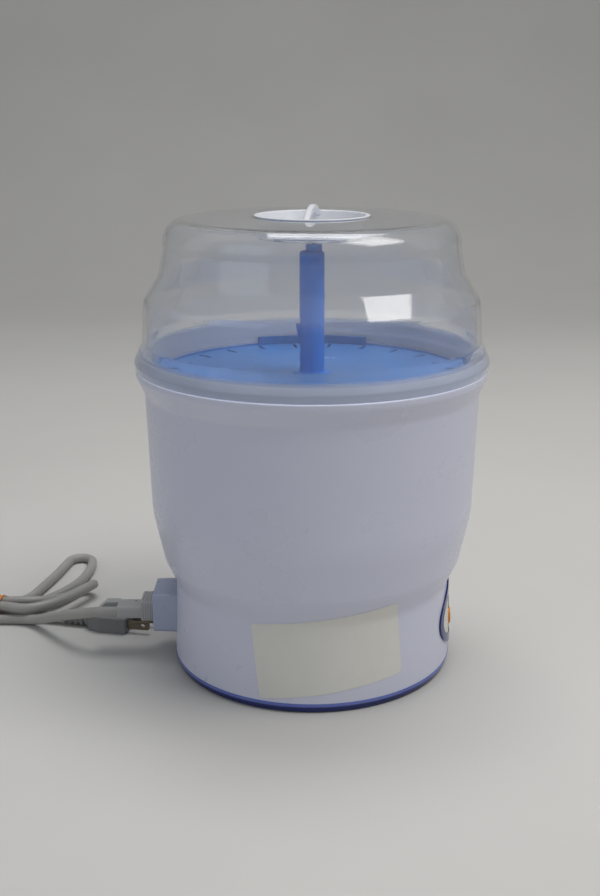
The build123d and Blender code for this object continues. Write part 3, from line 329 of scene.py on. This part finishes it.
def metalFinish(name, color, roughness, stretch=(1, 1, 12), scale=90):
    # turned or drawn metal, with fine lines along it
    material, tree, shader = newMaterial(name)
    lines = remap(tree, noise(tree, scale, 5, stretch=stretch), 0.3, 0.7, 0, 1)
    tone = mixColor(tree, lines, shade(color, 0.88), shade(color, 1.05))
    tree.links.new(tone, shader.inputs["Base Color"])
    shader.inputs["Metallic"].default_value = 1.0
    tree.links.new(remap(tree, lines, 0, 1, roughness * 0.75, roughness * 1.3), shader.inputs["Roughness"])
    addBump(tree, shader, lines, 0.25, 0.00004)
    return material


def cordJacket():
    # vinyl jacket, a little grubby where it was handled
    material, tree, shader = newMaterial("cordJacket")
    color = (0.360, 0.353, 0.332)
    grime = remap(tree, noise(tree, 55, 6, 0.65), 0.45, 0.75, 0, 0.5)
    cloud = remap(tree, noise(tree, 12, 3), 0.3, 0.7, 0, 1)
    tone = mixColor(tree, cloud, shade(color, 0.94), shade(color, 1.04))
    tone = mixColor(tree, grime, tone, (0.30, 0.295, 0.27))
    tree.links.new(tone, shader.inputs["Base Color"])
    tree.links.new(remap(tree, noise(tree, 80, 4), 0.3, 0.7, 0.34, 0.5), shader.inputs["Roughness"])
    addBump(tree, shader, noise(tree, 500, 3), 0.3, 0.00005)
    return material


finishes = {
    "shell_white": bodyWhite(),
    "base_blue": baseRim(),
    "clear_lid": clearLid(),
    "grip_white": mouldedPlastic("gripWhite", (0.71, 0.725, 0.765), 0.28, glow=0.1),
    "tray_blue": tintedPlastic("trayBlue", (0.045, 0.165, 0.45), 0.12, 0.22),
    "stem_blue": tintedPlastic("stemBlue", (0.004, 0.175, 0.66), 0.12, 0.18),
    "rack_blue": tintedPlastic("rackBlue", (0.22, 0.38, 0.80), 0.3, 0.24),
    "inlet_grey": mouldedPlastic("inletGrey", (0.39, 0.43, 0.56), 0.30, glow=0.1),
    "connector_grey": mouldedPlastic("connectorGrey", (0.40, 0.405, 0.405), 0.42, 0.00006, mottle=0.07),
    "plug_grey": mouldedPlastic("plugGrey", (0.205, 0.210, 0.210), 0.40, 0.00006, mottle=0.08),
    "cord_grey": cordJacket(),
    "tie_orange": mouldedPlastic("tieOrange", (0.78, 0.27, 0.04), 0.4, 0.0001, 500, 0.1),
    # blades, sockets and pins: brass painted dark as shade, so that the plug's blades look black
    "brass": metalFinish("brassPaintedShade", (0.20, 0.17, 0.13), 0.34),
    "steel": metalFinish("brushedSteel", (0.62, 0.61, 0.60), 0.28, (1, 1, 1)),
    "silicone": mouldedPlastic("silicone", (0.66, 0.65, 0.62), 0.5),
    "rubber_black": mouldedPlastic("footRubber", (0.03, 0.03, 0.03), 0.6, 0.0001),
    "bezel_blue": tintedPlastic("bezelBlue", (0.012, 0.025, 0.16), 0.1, 0.12),
    "panel_cream": mouldedPlastic("panelCream", (0.70, 0.67, 0.57), 0.3),
    "lens_amber": tintedPlastic("lensAmber", (0.90, 0.36, 0.05), 0.35, 0.12),
    "lens_dark": tintedPlastic("lensDark", (0.012, 0.014, 0.018), 0.1, 0.08),
    "board_green": mouldedPlastic("boardGreen", (0.03, 0.16, 0.06), 0.35),
    "part_black": mouldedPlastic("partBlack", (0.025, 0.025, 0.027), 0.4),
    "label_paper": mouldedPlastic("labelPaper", (0.715, 0.705, 0.655), 0.34, 0.00003, mottle=0.06),
    "wire_white": mouldedPlastic("wireSleeve", (0.70, 0.69, 0.66), 0.45),
}


def paintCadNodes():
    slots = {part["node"]: part["material_slot"] for part in frame["record"]["subparts"]}
    for name, obj in cadNodes.items():
        obj.data.materials.clear()
        obj.data.materials.append(finishes[slots[name]])


# --- mains lead, the CAD route's points in metres

cordSize = {
    "diameter": 0.0074,
    "length": 1.381,
}

cordRoutes = {
    "lead": [
        (-0.1395, -0.0046, 0.0310), (-0.1475, -0.0046, 0.0310), (-0.1562, -0.0032, 0.0300),
        (-0.1644, -0.0002, 0.0279), (-0.1720, 0.0043, 0.0251), (-0.1794, 0.0106, 0.0217),
        (-0.1886, 0.0190, 0.0166), (-0.1982, 0.0280, 0.0112), (-0.2066, 0.0354, 0.0069),
        (-0.2154, 0.0406, 0.0045), (-0.2254, 0.0430, 0.0037), (-0.2354, 0.0428, 0.0037),
    ],
    "hank": [
        # outer loop behind the tie
        (-0.2354, 0.0428, 0.0037), (-0.2504, 0.0425, 0.0037), (-0.2660, 0.0364, 0.0037),
        (-0.2810, 0.0274, 0.0037), (-0.2986, 0.0189, 0.0037), (-0.3254, 0.0189, 0.0037),
        (-0.3470, 0.0346, 0.0037), (-0.3552, 0.0600, 0.0037), (-0.3470, 0.0854, 0.0037),
        (-0.3254, 0.1011, 0.0037), (-0.2986, 0.1011, 0.0037), (-0.2810, 0.0930, 0.0037),
        (-0.2670, 0.0826, 0.0037), (-0.2550, 0.0754, 0.0043), (-0.2460, 0.0714, 0.0051),
        (-0.2378, 0.0712, 0.0051),
        # long loop beside the base
        (-0.2306, 0.0744, 0.0045), (-0.2256, 0.0802, 0.0040), (-0.2222, 0.0880, 0.0037),
        (-0.2194, 0.1010, 0.0037), (-0.2156, 0.1180, 0.0037), (-0.2120, 0.1360, 0.0037),
        (-0.2102, 0.1490, 0.0037), (-0.2086, 0.1578, 0.0037), (-0.2074, 0.1660, 0.0037),
        (-0.2018, 0.1708, 0.0037), (-0.1946, 0.1708, 0.0037), (-0.1890, 0.1660, 0.0037),
        (-0.1875, 0.1578, 0.0037), (-0.1870, 0.1470, 0.0037), (-0.1876, 0.1330, 0.0037),
        (-0.1904, 0.1164, 0.0037), (-0.1962, 0.1018, 0.0037), (-0.2034, 0.0890, 0.0037),
        (-0.2116, 0.0780, 0.0037), (-0.2212, 0.0694, 0.0039), (-0.2320, 0.0634, 0.0046),
        (-0.2440, 0.0618, 0.0052),
        # middle loop behind the tie
        (-0.2560, 0.0648, 0.0044), (-0.2700, 0.0736, 0.0038), (-0.2850, 0.0846, 0.0037),
        (-0.3015, 0.0923, 0.0037), (-0.3225, 0.0923, 0.0037), (-0.3395, 0.0800, 0.0037),
        (-0.3460, 0.0600, 0.0037), (-0.3395, 0.0400, 0.0037), (-0.3225, 0.0277, 0.0037),
        (-0.3015, 0.0277, 0.0062), (-0.2810, 0.0368, 0.0098), (-0.2640, 0.0448, 0.0118),
        (-0.2520, 0.0486, 0.0124), (-0.2370, 0.0484, 0.0124),
        # top strand, its fold, and the strand that comes back behind it
        (-0.2270, 0.0448, 0.0124), (-0.2166, 0.0428, 0.0123), (-0.2060, 0.0468, 0.0127),
        (-0.1958, 0.0564, 0.0124), (-0.1878, 0.0684, 0.0119), (-0.1810, 0.0806, 0.0118),
        (-0.1746, 0.0920, 0.0118), (-0.1757, 0.0985, 0.0095), (-0.1808, 0.1012, 0.0060),
        (-0.1868, 0.0992, 0.0038), (-0.1923, 0.0888, 0.0039), (-0.1974, 0.0790, 0.0054),
        (-0.2034, 0.0696, 0.0080), (-0.2110, 0.0620, 0.0106), (-0.2210, 0.0584, 0.0119),
        (-0.2320, 0.0577, 0.0122), (-0.2440, 0.0577, 0.0120),
        # inner loop behind the tie
        (-0.2570, 0.0602, 0.0117), (-0.2710, 0.0670, 0.0109), (-0.2860, 0.0754, 0.0082),
        (-0.3044, 0.0835, 0.0042), (-0.3196, 0.0835, 0.0037), (-0.3320, 0.0746, 0.0037),
        (-0.3367, 0.0600, 0.0037), (-0.3320, 0.0454, 0.0037), (-0.3196, 0.0365, 0.0037),
        (-0.3044, 0.0365, 0.0037), (-0.2840, 0.0440, 0.0037), (-0.2640, 0.0512, 0.0043),
        (-0.2440, 0.0538, 0.0053), (-0.2320, 0.0538, 0.0046), (-0.2200, 0.0512, 0.0042),
    ],
    "plugRun": [
        (-0.2200, 0.0512, 0.0042), (-0.2092, 0.04886, 0.00384), (-0.19987, 0.04504, 0.0055),
        (-0.19003, 0.043256, 0.0055),
    ],
}


def cordCurve(name, points):
    curve = bpy.data.curves.new(name, "CURVE")
    curve.dimensions = "3D"
    curve.bevel_depth = cordSize["diameter"] / 2
    curve.bevel_resolution = 6
    curve.resolution_u = 12
    curve.use_fill_caps = True
    spline = curve.splines.new("NURBS")
    spline.points.add(len(points) - 1)
    for point, place in zip(spline.points, points):
        point.co = (*place, 1)
    spline.order_u = 3
    spline.use_endpoint_u = True
    curve.materials.append(finishes["cord_grey"])
    return linkObject(bpy.data.objects.new(name, curve))


# --- pieces that repeat: links of the strain relief, ribs of the connector

reliefSize = {
    "Count": 5,
    "Pitch": 0.0044,
    "Link Width": 0.0026,
    "Big Radius": 0.0055,
    "Small Radius": 0.0043,
    "Wall": 0.0019,
    "Core Radius": 0.0033,
    "Web": 0.0016,
}
reliefPlace = {
    "plugFront": (-0.1369, 0.0336),  # as in the CAD, with the plug's turn
    "turnDeg": -10.3,
    "backOfBody": 0.032,
    "axisZ": 0.0055,
}
ribSize = {
    "Count": 5,
    "Pitch": 0.0017,
    "Width": 0.0220,
    "Height": 0.0153,
    "Corner": 0.0030,
    "Bead": 0.00042,
}
ribPlace = {
    "firstX": -0.11392,
    "axisZ": 0.03335,
}


class NodeTree:
    # a Geometry Nodes tree with named inputs for its sizes
    def __init__(self, name, sizes):
        self.group = bpy.data.node_groups.new(name, "GeometryNodeTree")
        self.group.interface.new_socket("Geometry", in_out="OUTPUT", socket_type="NodeSocketGeometry")
        self.identifiers = {}
        for label, value in sizes.items():
            kind = "NodeSocketInt" if isinstance(value, int) else "NodeSocketFloat"
            socket = self.group.interface.new_socket(label, in_out="INPUT", socket_type=kind)
            self.identifiers[label] = socket.identifier
        self.inputs = self.group.nodes.new("NodeGroupInput").outputs

    def add(self, kind, links=None, **settings):
        node = self.group.nodes.new(kind)
        for key, value in settings.items():
            setattr(node, key, value)
        for socket, source in (links or {}).items():
            if isinstance(source, bpy.types.NodeSocket):
                self.group.links.new(source, node.inputs[socket])
            else:
                node.inputs[socket].default_value = source
        return node

    def math(self, operation, first, second):
        return self.add("ShaderNodeMath", {0: first, 1: second}, operation=operation).outputs[0]

    def vector(self, x, y, z):
        return self.add("ShaderNodeCombineXYZ", {0: x, 1: y, 2: z}).outputs[0]

    def join(self, *parts):
        node = self.add("GeometryNodeJoinGeometry")
        for part in parts:
            self.group.links.new(part, node.inputs[0])
        return node.outputs[0]

    def finish(self, geometry, material, sizes):
        # the object that the tree makes, as a plain mesh
        realized = self.add("GeometryNodeRealizeInstances", {0: geometry}).outputs[0]
        smooth = self.add("GeometryNodeSetShadeSmooth", {0: realized, "Shade Smooth": True}).outputs[0]
        painted = self.add("GeometryNodeSetMaterial", {0: smooth, "Material": material}).outputs[0]
        output = self.group.nodes.new("NodeGroupOutput")
        self.group.links.new(painted, output.inputs[0])
        carrier = linkObject(bpy.data.objects.new(self.group.name, bpy.data.meshes.new(self.group.name)))
        modifier = carrier.modifiers.new(self.group.name, "NODES")
        modifier.node_group = self.group
        for label, value in sizes.items():
            modifier[self.identifiers[label]] = value
        evaluated = carrier.evaluated_get(bpy.context.evaluated_depsgraph_get())
        mesh = bpy.data.meshes.new_from_object(evaluated)
        carrier.modifiers.remove(modifier)
        carrier.data = mesh
        return carrier


def roundedLoop(tree, width, height, corner):
    loop = tree.add("GeometryNodeCurvePrimitiveQuadrilateral", {"Width": width, "Height": height})
    rounded = tree.add("GeometryNodeFilletCurve", {"Curve": loop.outputs[0], "Radius": corner, "Count": 6},
                       mode="POLY")
    return rounded.outputs[0]


def reliefLinks():
    # tapering rings on a core, joined by a web along each side; the line runs along -X
    tree = NodeTree("reliefLinks", reliefSize)
    size = tree.inputs
    step = tree.vector(tree.math("MULTIPLY", size["Pitch"], -1), 0, 0)
    start = tree.vector(tree.math("MULTIPLY", size["Pitch"], -0.32), 0, 0)
    links = {"Count": size["Count"], "Start Location": start, "Offset": step}
    line = tree.add("GeometryNodeMeshLine", links, mode="OFFSET").outputs[0]
    middle = tree.math("SUBTRACT", size["Big Radius"], tree.math("MULTIPLY", size["Wall"], 0.5))
    circle = tree.add("GeometryNodeCurvePrimitiveCircle", {"Resolution": 48, "Radius": middle}).outputs[0]
    section = roundedLoop(tree, size["Link Width"], size["Wall"], 0.0006)
    quarter = math.pi / 2
    turned = tree.add("GeometryNodeTransform", {"Geometry": section, "Rotation": (0, 0, quarter)}).outputs[0]
    ring = tree.add("GeometryNodeCurveToMesh", {"Curve": circle, "Profile Curve": turned}).outputs[0]
    upright = tree.add("GeometryNodeTransform", {"Geometry": ring, "Rotation": (0, quarter, 0)}).outputs[0]
    index = tree.add("GeometryNodeInputIndex").outputs[0]
    last = tree.math("SUBTRACT", size["Count"], 1)
    share = tree.math("DIVIDE", size["Small Radius"], size["Big Radius"])
    span = {"Value": index, "From Min": 0.0, "From Max": last, "To Min": 1.0, "To Max": share}
    taper = tree.add("ShaderNodeMapRange", span).outputs[0]
    copies = {"Points": line, "Instance": upright, "Scale": tree.vector(1, taper, taper)}
    rings = tree.add("GeometryNodeInstanceOnPoints", copies).outputs[0]
    length = tree.math("MULTIPLY", size["Pitch"], tree.math("SUBTRACT", size["Count"], 0.1))
    bar = {"Vertices": 32, "Radius": size["Core Radius"], "Depth": length}
    core = tree.add("GeometryNodeMeshCylinder", bar).outputs[0]
    half = tree.math("MULTIPLY", length, -0.5)
    middlePlace = tree.vector(half, 0, 0)
    lying = {"Geometry": core, "Translation": middlePlace, "Rotation": (0, quarter, 0)}
    laid = tree.add("GeometryNodeTransform", lying).outputs[0]
    webHigh = tree.math("MULTIPLY", size["Web"], 2.2)
    webSide = tree.math("MULTIPLY", size["Small Radius"], 1.86)
    web = tree.add("GeometryNodeMeshCube", {"Size": tree.vector(length, webSide, webHigh)}).outputs[0]
    webs = tree.add("GeometryNodeTransform", {"Geometry": web, "Translation": middlePlace}).outputs[0]
    whole = tree.join(rings, laid, webs)
    turn = math.radians(reliefPlace["turnDeg"])
    frontX, frontY = reliefPlace["plugFront"]
    back = reliefPlace["backOfBody"]
    place = (frontX - back * math.cos(turn), frontY - back * math.sin(turn), reliefPlace["axisZ"])
    seat = {"Geometry": whole, "Translation": place, "Rotation": (0, 0, turn)}
    placed = tree.add("GeometryNodeTransform", seat)
    relief = tree.finish(placed.outputs[0], finishes["plug_grey"], reliefSize)
    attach(relief, "power_lead")
    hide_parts("plug_relief")
    return relief


def connectorRibs():
    # fine ribs round the head of the connector, between its grooves
    tree = NodeTree("connectorRibs", ribSize)
    size = tree.inputs
    step = tree.vector(tree.math("MULTIPLY", size["Pitch"], -1), 0, 0)
    start = (ribPlace["firstX"], 0, ribPlace["axisZ"])
    links = {"Count": size["Count"], "Start Location": start, "Offset": step}
    line = tree.add("GeometryNodeMeshLine", links, mode="OFFSET").outputs[0]
    loop = roundedLoop(tree, size["Width"], size["Height"], size["Corner"])
    bead = tree.add("GeometryNodeCurvePrimitiveCircle", {"Resolution": 10, "Radius": size["Bead"]}).outputs[0]
    rib = tree.add("GeometryNodeCurveToMesh", {"Curve": loop, "Profile Curve": bead}).outputs[0]
    quarter = math.pi / 2
    stand = {"Geometry": rib, "Rotation": (quarter, 0, quarter)}
    upright = tree.add("GeometryNodeTransform", stand).outputs[0]
    ribs = tree.add("GeometryNodeInstanceOnPoints", {"Points": line, "Instance": upright}).outputs[0]
    piece = tree.finish(ribs, finishes["connector_grey"], ribSize)
    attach(piece, "power_lead")
    return piece


def layCord(relief):
    # one cord from the connector to the plug, through the hank
    points = cordRoutes["lead"][:-1] + cordRoutes["hank"] + cordRoutes["plugRun"][1:]
    lead = cordCurve("mainsLead", points)
    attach(lead, "power_lead")
    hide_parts("cord_from_connector", "cord_hank", "cord_to_plug")


addCamera()
addStudio()
connectorRibs()
layCord(reliefLinks())
print("camera, light, ribs and cord done")
paintCadNodes()
addSweep()
print("materials done")
